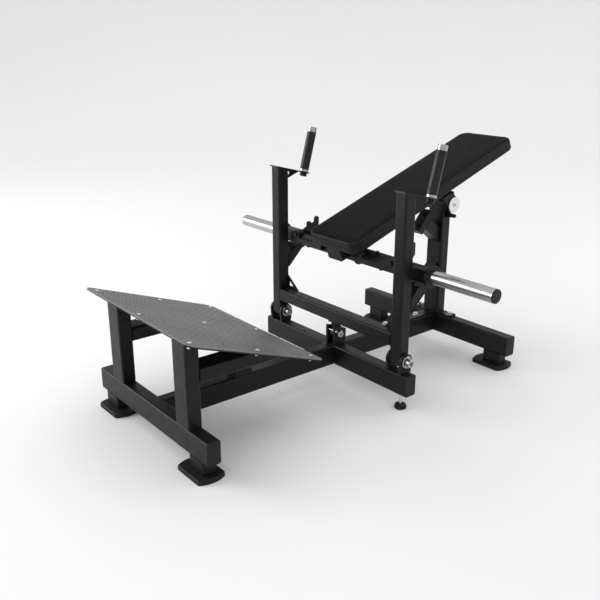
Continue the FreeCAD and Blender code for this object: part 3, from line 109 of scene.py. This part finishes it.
def tint(tree, shader, factor, dark, light):
    """Colours the surface from dark to light by a factor."""
    mix = node(tree, "Mix", data_type="RGBA")
    colors = [socket for socket in mix.inputs if socket.type == "RGBA"]
    colors[0].default_value = (*dark, 1)
    colors[1].default_value = (*light, 1)
    tree.links.new(factor, mix.inputs[0])
    mixed = [socket for socket in mix.outputs if socket.type == "RGBA"][0]
    tree.links.new(mixed, shader.inputs["Base Color"])


def vary_roughness(tree, shader, factor, low, high):
    tree.links.new(spread(tree, factor, low, high), shader.inputs["Roughness"])


def bump(tree, shader, height, strength, depth):
    """Adds a relief, on top of any that the shader has already."""
    relief = node(tree, "Bump", Strength=strength, Distance=depth)
    tree.links.new(height, relief.inputs["Height"])
    earlier = shader.inputs["Normal"].links
    if earlier:
        tree.links.new(earlier[0].from_socket, relief.inputs["Normal"])
    tree.links.new(relief.outputs["Normal"], shader.inputs["Normal"])


# ---------------------------------------------------------------- materials

def powder_coat(name, dark, light, roughness):
    """Black powder coat: fine orange peel, faint cloudy gloss and colour."""
    cloud_scale, gloss_scale, peel_scale = 9.0, 38.0, 520.0
    material, tree, shader = principled(name, light, roughness, Specular_IOR_Level=0.22)
    where = coordinates(tree)
    tint(tree, shader, spread(tree, noise(tree, where, cloud_scale, detail=4.0)), dark, light)
    vary_roughness(tree, shader, noise(tree, where, gloss_scale, detail=3.0),
                   roughness - 0.05, roughness + 0.06)
    bump(tree, shader, noise(tree, where, peel_scale), strength=0.10, depth=0.0006)
    return material


def moulded(name, dark, light, roughness, grain, depth, specular=0.25):
    """Moulded plastic or rubber with a fine pebbled skin."""
    cloud_scale, gloss_scale = 22.0, 60.0
    material, tree, shader = principled(name, light, roughness, Specular_IOR_Level=specular)
    where = coordinates(tree)
    tint(tree, shader, spread(tree, noise(tree, where, cloud_scale, detail=4.0)), dark, light)
    vary_roughness(tree, shader, noise(tree, where, gloss_scale), roughness - 0.06, roughness + 0.08)
    pebbles = node(tree, "TexVoronoi", Scale=grain)
    tree.links.new(where, pebbles.inputs["Vector"])
    bump(tree, shader, pebbles.outputs["Distance"], strength=0.25, depth=depth)
    return material


def plated(name, color, roughness, stretch, lines):
    """Plated or turned metal with fine marks that run round or along the piece."""
    stain_scale, stain_shade = 14.0, 0.92
    material, tree, shader = principled(name, color, roughness, metallic=1.0)
    marks = noise(tree, coordinates(tree, stretch), lines, detail=4.0, roughness=0.65)
    stain = noise(tree, coordinates(tree), stain_scale, detail=3.0)
    stained = tuple(stain_shade * channel for channel in color)
    tint(tree, shader, spread(tree, stain), stained, color)
    vary_roughness(tree, shader, marks, roughness - 0.03, roughness + 0.03)
    bump(tree, shader, marks, strength=0.01, depth=0.00002)
    return material


def vinyl(name, dark, light, specular):
    """Upholstery vinyl: a fine leather grain with painted shade in its creases, and slightly uneven
    gloss.
    """
    warp_scale, warp_reach = 120.0, 0.0018
    grain_scale, crease_width = 620.0, 0.22
    gloss_scale, wave_scale = 16.0, 26.0
    material, tree, shader = principled(name, light, 0.5, Specular_IOR_Level=specular)
    where = coordinates(tree)
    warp = node(tree, "TexNoise", Scale=warp_scale, Detail=2.0)
    tree.links.new(where, warp.inputs["Vector"])
    warped = node(tree, "VectorMath", operation="MULTIPLY_ADD")
    warped.inputs[1].default_value = (warp_reach, warp_reach, warp_reach)
    tree.links.new(warp.outputs["Color"], warped.inputs[0])
    tree.links.new(where, warped.inputs[2])
    grain = node(tree, "TexVoronoi", Scale=grain_scale, feature="DISTANCE_TO_EDGE")
    tree.links.new(warped.outputs["Vector"], grain.inputs["Vector"])
    creases = spread(tree, grain.outputs["Distance"], start=0.0, end=crease_width)
    # the grain's creases are painted darker than the rest: painted shade in the creases
    tint(tree, shader, creases, dark, light)
    vary_roughness(tree, shader, noise(tree, where, gloss_scale, detail=4.0), 0.38, 0.46)
    bump(tree, shader, creases, strength=0.14, depth=0.0003)
    bump(tree, shader, noise(tree, where, wave_scale, detail=3.0), strength=0.02, depth=0.002)
    return material


def tread_sheet(name, dark, light):
    """Grey anti-slip sheet with a warm tinge, duller in patches and unevenly worn."""
    wear_scale, patch_scale = 90.0, 5.0
    material, tree, shader = principled(name, light, 0.42, metallic=0.6)
    where = coordinates(tree)
    wear = noise(tree, where, wear_scale, detail=5.0, roughness=0.7)
    patches = noise(tree, where, patch_scale, detail=5.0, roughness=0.6)
    tint(tree, shader, spread(tree, patches), dark, light)
    vary_roughness(tree, shader, wear, 0.36, 0.54)
    bump(tree, shader, wear, strength=0.05, depth=0.0004)
    return material


def plywood(name, dark, light):
    """Plywood stained black, with its grain along the cushion."""
    across_grain, grain_scale = (40, 3, 3), 12.0
    material, tree, shader = principled(name, light, 0.7)
    grain = noise(tree, coordinates(tree, across_grain), grain_scale, detail=6.0, roughness=0.65)
    tint(tree, shader, spread(tree, grain), dark, light)
    bump(tree, shader, grain, strength=0.2, depth=0.0004)
    return material


def studio_floor(name, dark, light):
    """Matt white floor with the faintest of shading."""
    shading_scale = 0.4
    material, tree, shader = principled(name, light, 0.8, Specular_IOR_Level=0.1)
    tint(tree, shader, spread(tree, noise(tree, coordinates(tree), shading_scale)), dark, light)
    return material


MATERIALS = {
    "frame_paint": powder_coat("frame_paint", (0.0052, 0.0052, 0.0053), (0.0072, 0.0072, 0.0073),
                               roughness=0.40),
    "plate_paint": powder_coat("plate_paint", (0.0075, 0.0075, 0.0077), (0.0105, 0.0105, 0.0107),
                               roughness=0.44),
    "plastic": moulded("plastic", (0.006, 0.006, 0.0062), (0.009, 0.009, 0.0092),
                       roughness=0.48, grain=900.0, depth=0.0002),
    "rubber": moulded("rubber", (0.005, 0.005, 0.0051), (0.009, 0.009, 0.0091),
                      roughness=0.60, grain=600.0, depth=0.0003),
    "black_steel": powder_coat("black_steel", (0.005, 0.005, 0.0052), (0.008, 0.008, 0.0082),
                               roughness=0.34),
    "chrome": plated("chrome", (0.44, 0.44, 0.445), 0.24, stretch=(60, 1, 1), lines=7.0),
    "zinc_steel": plated("zinc_steel", (0.66, 0.66, 0.67), 0.26, stretch=(8, 8, 30), lines=40.0),
    "satin_steel": plated("satin_steel", (0.80, 0.80, 0.79), 0.38, stretch=(6, 40, 40), lines=18.0),
    "bronze": plated("bronze", (0.42, 0.28, 0.13), 0.35, stretch=(30, 6, 6), lines=30.0),
    # the cushion's top vinyl is darker than its walls' copy: painted shade on the top
    "vinyl": vinyl("vinyl", (0.0050, 0.0050, 0.0050), (0.0085, 0.0085, 0.0086), specular=0.03),
    "tread": tread_sheet("tread", (0.128, 0.130, 0.131), (0.180, 0.176, 0.166)),
    "board": plywood("board", (0.010, 0.009, 0.008), (0.018, 0.016, 0.014)),
}
# a lighter copy of the same vinyl for the cushion's walls: painted light, the walls drawn brighter than
# the top for how light falls on them
PAINTED_LIGHT_WALL_VINYL = vinyl("vinyl_wall_painted_light", (0.0115, 0.0115, 0.0115), (0.0200, 0.0200, 0.0202), specular=0.10)
GRIP = moulded("grip", (0.004, 0.004, 0.0041), (0.007, 0.007, 0.0071),
               roughness=0.36, grain=260.0, depth=0.000002, specular=0.35)
STOP_BOLT_HEIGHT = 0.4      # metres: the frame bolts above this hold the black stop


def paint(piece, slot):
    """Gives a piece the one material of a slot."""
    piece.data.materials.clear()
    piece.data.materials.append(MATERIALS[slot])


def paint_cad_nodes():
    """Every CAD node takes its record's slot; the grips and the stop's bolts have their own."""
    for part in frame["record"]["subparts"]:
        paint(nodes[part["node"]], part["material_slot"])
    nodes["handle_grips"].data.materials[0] = GRIP
    bolts = nodes["frame_bolts"].data
    bolts.materials.append(MATERIALS["black_steel"])
    for face in bolts.polygons:
        face.material_index = int(face.center.z > STOP_BOLT_HEIGHT)


# ---------------------------------------------------------------- helpers for new pieces

def mesh_from(bm, name):
    mesh = bpy.data.meshes.new(name)
    bm.to_mesh(mesh)
    bm.free()
    return mesh


def add_object(name, data):
    made = bpy.data.objects.new(name, data)
    bpy.context.scene.collection.objects.link(made)
    return made


def shade_smooth(mesh):
    for face in mesh.polygons:
        face.use_smooth = True


def new_piece(name, mesh, body, slot):
    piece = add_object(name, mesh)
    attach(piece, body)
    paint(piece, slot)
    return piece


def shaped(mesh, modifiers):
    """The mesh that a list of modifiers makes of a mesh: (type, settings) pairs."""
    holder = add_object("shaping", mesh)
    for kind, settings in modifiers:
        modifier = holder.modifiers.new(kind.lower(), kind)
        for key, setting in settings.items():
            setattr(modifier, key, setting)
    depsgraph = bpy.context.evaluated_depsgraph_get()
    made = bpy.data.meshes.new_from_object(holder.evaluated_get(depsgraph))
    bpy.data.objects.remove(holder)
    return made


# ---------------------------------------------------------------- cushion

# The CAD cushion and the board it lies on.
PAD_TILT = math.radians(19.26)
PAD_HALF = 136.0
PAD_LENGTH = 964.0
PAD_DEPTH = 50.0
PAD_CORNER = 40.0
BOARD_INSET = 6.0
BOARD_DEPTH = 10.0

# The shell that is blown up, a little smaller than the cushion.
SHELL_INSET = 0.4
SHELL_TOP = -1.6
SHELL_BOTTOM = 0.2 - PAD_DEPTH
SHELL_EDGE = 10.0           # radius round the top
EDGE_STEPS = 8
CORNER_STEPS = 10
OUTLINE_STEP = 16.0         # between points along a straight side

VOXEL = 5.0
STAPLED = 14.0              # the lowest part of the wall is held by the staples under the board
PRESSURE = 4.0
FRAMES = 20
SWELL = 1.8                 # the furthest that a point of the cover moves
WALL_START = 4.0            # the walls take a lighter copy of the vinyl, painted light, from just below the top edge

PLEATS = 7                  # gathers round each corner
PLEAT_DEPTH = 0.20
PLEAT_START = 22.0          # below the top
PLEAT_FADE = 20.0           # further down to their full depth
PLEAT_REACH = 0.8           # share of the corner's radius inside which there are none


def pad_frame():
    """The cushion's own frame: its origin is the front edge of its top, on the centre line."""
    low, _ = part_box("pad_board")
    sine, cosine = math.sin(PAD_TILT), math.cos(PAD_TILT)
    top_of_board = PAD_DEPTH - BOARD_DEPTH
    y = low.y - MM * (BOARD_INSET * cosine + top_of_board * sine)
    z = low.z - MM * (BOARD_INSET * sine - PAD_DEPTH * cosine)
    return Matrix.Translation((0, y, z)) @ Matrix.Rotation(PAD_TILT, 4, "X")


def rounded_outline(inset):
    """Points round the cushion's plan, set in from its sides, the same number at every inset."""
    corner = max(PAD_CORNER - inset, 0.0)
    x, low, high = PAD_HALF - inset, inset, PAD_LENGTH - inset
    corners = ((x - corner, low + corner, -90), (x - corner, high - corner, 0),
               (corner - x, high - corner, 90), (corner - x, low + corner, 180))
    along = round((PAD_LENGTH - 2 * PAD_CORNER) / OUTLINE_STEP)
    across = round((2 * (PAD_HALF - PAD_CORNER)) / OUTLINE_STEP)

    def on_corner(centre_x, centre_y, degrees):
        angle = math.radians(degrees)
        return Vector((centre_x + corner * math.cos(angle), centre_y + corner * math.sin(angle)))

    points = []
    for number, (centre_x, centre_y, start) in enumerate(corners):
        for step in range(CORNER_STEPS + 1):
            points.append(on_corner(centre_x, centre_y, start + 90 * step / CORNER_STEPS))
        begin = points[-1]
        target = on_corner(*corners[(number + 1) % len(corners)])
        pieces = across if number % 2 else along
        for step in range(1, pieces):
            points.append(begin.lerp(target, step / pieces))
    return points


def make_shell():
    """The closed form that the cover is blown up from: flat below, with a rounded edge on top."""
    rings = [(SHELL_INSET, SHELL_BOTTOM)]
    for step in range(EDGE_STEPS + 1):
        angle = math.radians(90 * step / EDGE_STEPS)
        rings.append((SHELL_INSET + SHELL_EDGE * (1 - math.cos(angle)),
                      SHELL_TOP - SHELL_EDGE * (1 - math.sin(angle))))
    bm = bmesh.new()
    loops = []
    for inset, height in rings:
        loops.append([bm.verts.new((p.x * MM, p.y * MM, height * MM)) for p in rounded_outline(inset)])
    count = len(loops[0])
    for below, above in zip(loops, loops[1:]):
        for step in range(count):
            after = (step + 1) % count
            bm.faces.new((below[step], below[after], above[after], above[step]))
    bm.faces.new(loops[-1])
    bm.faces.new(list(reversed(loops[0])))
    bmesh.ops.recalc_face_normals(bm, faces=bm.faces)
    return mesh_from(bm, "shell")


def blown_up(mesh, fixed):
    """Where a closed cloth cover under pressure settles; the fixed points stay where they are."""
    scene = bpy.context.scene
    holder = add_object("cover", mesh)
    holder.vertex_groups.new(name="fixed").add(fixed, 1.0, "REPLACE")
    cloth = holder.modifiers.new("cloth", "CLOTH")
    cloth.settings.use_pressure = True
    cloth.settings.uniform_pressure_force = PRESSURE
    cloth.settings.effector_weights.gravity = 0.0
    cloth.settings.vertex_group_mass = "fixed"
    cloth.collision_settings.use_collision = False
    cloth.point_cache.frame_start = 1
    cloth.point_cache.frame_end = FRAMES
    for number in range(1, FRAMES + 1):
        scene.frame_set(number)
    cover = holder.evaluated_get(bpy.context.evaluated_depsgraph_get())
    places = [point.co.copy() for point in cover.data.vertices]
    bpy.data.objects.remove(holder)
    scene.frame_set(1)
    return places


def swell(mesh):
    """Moves the points of the cover to where the cloth settles, by no more than the cap."""
    stapled = [v.index for v in mesh.vertices if v.co.z < MM * (SHELL_BOTTOM + STAPLED)]
    before = [v.co.copy() for v in mesh.vertices]
    for vertex, start, place in zip(mesh.vertices, before, blown_up(mesh, stapled)):
        move = place - start
        if move.length > MM * SWELL:
            move *= MM * SWELL / move.length
        vertex.co = start + move


def fill_out(mesh):
    """Stretches the cover to the exact width, length and thickness of the cushion."""
    lows = [min(v.co[i] for v in mesh.vertices) for i in range(3)]
    highs = [max(v.co[i] for v in mesh.vertices) for i in range(3)]
    starts = (-MM * PAD_HALF, 0.0, -MM * PAD_DEPTH)
    ends = (MM * PAD_HALF, MM * PAD_LENGTH, 0.0)
    for vertex in mesh.vertices:
        vertex.co = [start + (end - start) * (at - low) / (high - low)
                     for at, low, high, start, end in zip(vertex.co, lows, highs, starts, ends)]


def pleat(point):
    """How far the gathers draw the cover in at a point, from 0 to 1: only low on a corner."""
    corner = MM * PAD_CORNER
    x = abs(point.x) - (MM * PAD_HALF - corner)
    y = abs(point.y - MM * PAD_LENGTH / 2) - (MM * PAD_LENGTH / 2 - corner)
    if x <= 0 or y <= 0 or math.hypot(x, y) < corner * PLEAT_REACH:
        return 0.0
    fade = min(1.0, max(0.0, (-point.z / MM - PLEAT_START) / PLEAT_FADE))
    turn = math.atan2(y, x)
    return fade * math.sin(2 * turn) * (0.5 - 0.5 * math.cos(4 * PLEATS * turn))


def make_cushion():
    """Vinyl stretched over foam on its board: remeshed, blown up as cloth, gathered at the corners."""
    mesh = shaped(make_shell(), [("REMESH", {"mode": "VOXEL", "voxel_size": VOXEL * MM})])
    swell(mesh)
    mesh = shaped(mesh, [("SMOOTH", {"iterations": 1, "factor": 0.5}), ("SUBSURF", {"levels": 1})])
    fill_out(mesh)
    for vertex in mesh.vertices:
        drawn = MM * PLEAT_DEPTH * pleat(vertex.co)
        if drawn:
            vertex.co -= vertex.normal * drawn
    # the wall faces take the lighter copy of the vinyl: painted light
    walls = [int(face.center.z < -MM * WALL_START) for face in mesh.polygons]
    mesh.transform(pad_frame())
    shade_smooth(mesh)
    piece = new_piece("cushion", mesh, "back_rest", "vinyl")
    mesh.materials.append(PAINTED_LIGHT_WALL_VINYL)
    mesh.polygons.foreach_set("material_index", walls)
    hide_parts("pad_cushion")


# ---------------------------------------------------------------- tread pattern

PLATE_SLOPE = math.radians(19.8)
TREAD_THICKNESS = 2.0
TREAD_LENGTH = 545.0        # down the slope, from the front edge
TREAD_MARGIN = 18.0
STUD_PITCH = 30.0           # across; rows are half of this apart
STUD_FOOT = (11.5, 2.8, -0.1)       # half length, half width and height: the foot sinks into the sheet
STUD_CREST = (9.0, 1.4, 1.1)
STUD_SIDES = 8
STUD_SHOULDER = 0.86        # shortens all but the two end points, which makes the ends pointed


def add_stud(bm, centre, turn):
    """One raised lozenge, turned in the plane of the sheet."""
    along = Vector((math.cos(turn), math.sin(turn)))
    across = Vector((-along.y, along.x))
    rings = []
    for half_length, half_width, height in (STUD_FOOT, STUD_CREST):
        ring = []
        for step in range(STUD_SIDES):
            angle = math.tau * step / STUD_SIDES
            sharp = 1.0 if step % (STUD_SIDES // 2) == 0 else STUD_SHOULDER
            at = (centre + along * (half_length * math.cos(angle) * sharp)
                  + across * (half_width * math.sin(angle)))
            ring.append(bm.verts.new((at.x, at.y, height)))
        rings.append(ring)
    foot, crest = rings
    for step in range(STUD_SIDES):
        after = (step + 1) % STUD_SIDES
        bm.faces.new((foot[step], foot[after], crest[after], crest[step]))
    bm.faces.new(crest)
    bm.faces.new(list(reversed(foot)))


def make_tread_studs():
    """Raised lozenges of the tread sheet, in rows that alternate in direction."""
    low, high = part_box("foot_tread")
    half = high.x / MM
    rows = int((TREAD_LENGTH - 2 * TREAD_MARGIN) / (STUD_PITCH / 2))
    columns = int((2 * half - 2 * TREAD_MARGIN) / STUD_PITCH)
    bm = bmesh.new()
    for row in range(rows + 1):
        shift = STUD_PITCH / 2 if row % 2 else 0
        turn = math.radians(45 if row % 2 else -45)
        for column in range(columns + 1):
            x = -half + TREAD_MARGIN + column * STUD_PITCH + shift
            if x <= half - TREAD_MARGIN:
                add_stud(bm, Vector((x, TREAD_MARGIN + row * STUD_PITCH / 2)), turn)
    bmesh.ops.recalc_face_normals(bm, faces=bm.faces)
    mesh = mesh_from(bm, "tread_studs")
    front_edge = (0, low.y + MM * TREAD_THICKNESS * math.sin(PLATE_SLOPE), high.z)
    mesh.transform(Matrix.Translation(front_edge) @ Matrix.Rotation(-PLATE_SLOPE, 4, "X")
                   @ Matrix.Scale(MM, 4))
    new_piece("tread_studs", mesh, "base", "tread")


# ---------------------------------------------------------------- studio

FLOOR_RADIUS = 6.0
RIM_RADIUS = 2.6
RIM_STEPS = 12
FLOOR_SIDES = 96
FLOOR_DROP = 0.0005         # keeps the floor clear of the undersides of the feet
HORIZON = 0.42              # strength of the studio's light at eye level
ZENITH = 1.14               # and overhead
LIGHTS = (                  # name, place, aim, size, watts
    ("key", (-3.3, -3.4, 1.7), (0, 0, 0.5), (3.2, 2.2), 110),
    ("rear", (2.4, 4.2, 2.4), (0, 0.2, 0.5), (2.6, 1.6), 25),
)
CAMERA_PLACE = (2.068, -1.869, 1.287)
CAMERA_AIM = (-0.7327, 0.5957, -0.3290)     # a direction
SENSOR_WIDTH = 36.0         # in millimetres, as the focal length is
FOCAL_LENGTH = 45.34


def facing(direction):
    """The rotation that turns a light or camera to look along a direction."""
    return direction.to_track_quat("-Z", "Y").to_euler()


def make_floor():
    """A pale round floor whose rim curves up into a low wall, with no horizon."""
    profile = [(FLOOR_RADIUS / 2, 0.0)]
    for step in range(RIM_STEPS + 1):
        angle = math.radians(90 * step / RIM_STEPS)
        profile.append((FLOOR_RADIUS + RIM_RADIUS * math.sin(angle), RIM_RADIUS * (1 - math.cos(angle))))
    bm = bmesh.new()
    centre = bm.verts.new((0, 0, 0))
    loops = []
    for radius, height in profile:
        loop = []
        for number in range(FLOOR_SIDES):
            angle = math.tau * number / FLOOR_SIDES
            loop.append(bm.verts.new((radius * math.cos(angle), radius * math.sin(angle), height)))
        loops.append(loop)
    for number in range(FLOOR_SIDES):
        bm.faces.new((centre, loops[0][number], loops[0][(number + 1) % FLOOR_SIDES]))
    for below, above in zip(loops, loops[1:]):
        for number in range(FLOOR_SIDES):
            after = (number + 1) % FLOOR_SIDES
            bm.faces.new((below[number], above[number], above[after], below[after]))
    mesh = mesh_from(bm, "floor")
    shade_smooth(mesh)
    floor = add_object("floor", mesh)
    floor.location = (0, 0, -FLOOR_DROP)
    mesh.materials.append(studio_floor("floor", (0.895, 0.895, 0.895), (0.905, 0.905, 0.905)))


def make_world():
    """Soft light from all round, brightest overhead."""
    world = bpy.data.worlds.new("studio")
    world.use_nodes = True
    tree = world.node_tree
    place = node(tree, "TexCoord")
    split = node(tree, "SeparateXYZ")
    tree.links.new(place.outputs["Generated"], split.inputs[0])
    background = tree.nodes["Background"]
    background.inputs["Color"].default_value = (1, 1, 1, 1)
    strength = spread(tree, split.outputs["Z"], HORIZON, ZENITH, start=0.0, end=1.0)
    tree.links.new(strength, background.inputs["Strength"])
    bpy.context.scene.world = world


def make_camera():
    camera = bpy.data.cameras.new("camera")
    camera.sensor_width = SENSOR_WIDTH
    camera.lens = FOCAL_LENGTH
    holder = add_object("camera", camera)
    holder.location = CAMERA_PLACE
    holder.rotation_euler = facing(Vector(CAMERA_AIM))
    bpy.context.scene.camera = holder


def make_lights():
    for name, place, aim, size, watts in LIGHTS:
        lamp = bpy.data.lights.new(name, "AREA")
        lamp.shape = "RECTANGLE"
        lamp.size, lamp.size_y = size
        lamp.energy = watts
        holder = add_object(name, lamp)
        holder.location = place
        holder.rotation_euler = facing(Vector(aim) - Vector(place))


paint_cad_nodes()
make_cushion()
make_tread_studs()
make_floor()
make_world()
make_camera()
make_lights()
bpy.context.scene.view_settings.view_transform = "Standard"
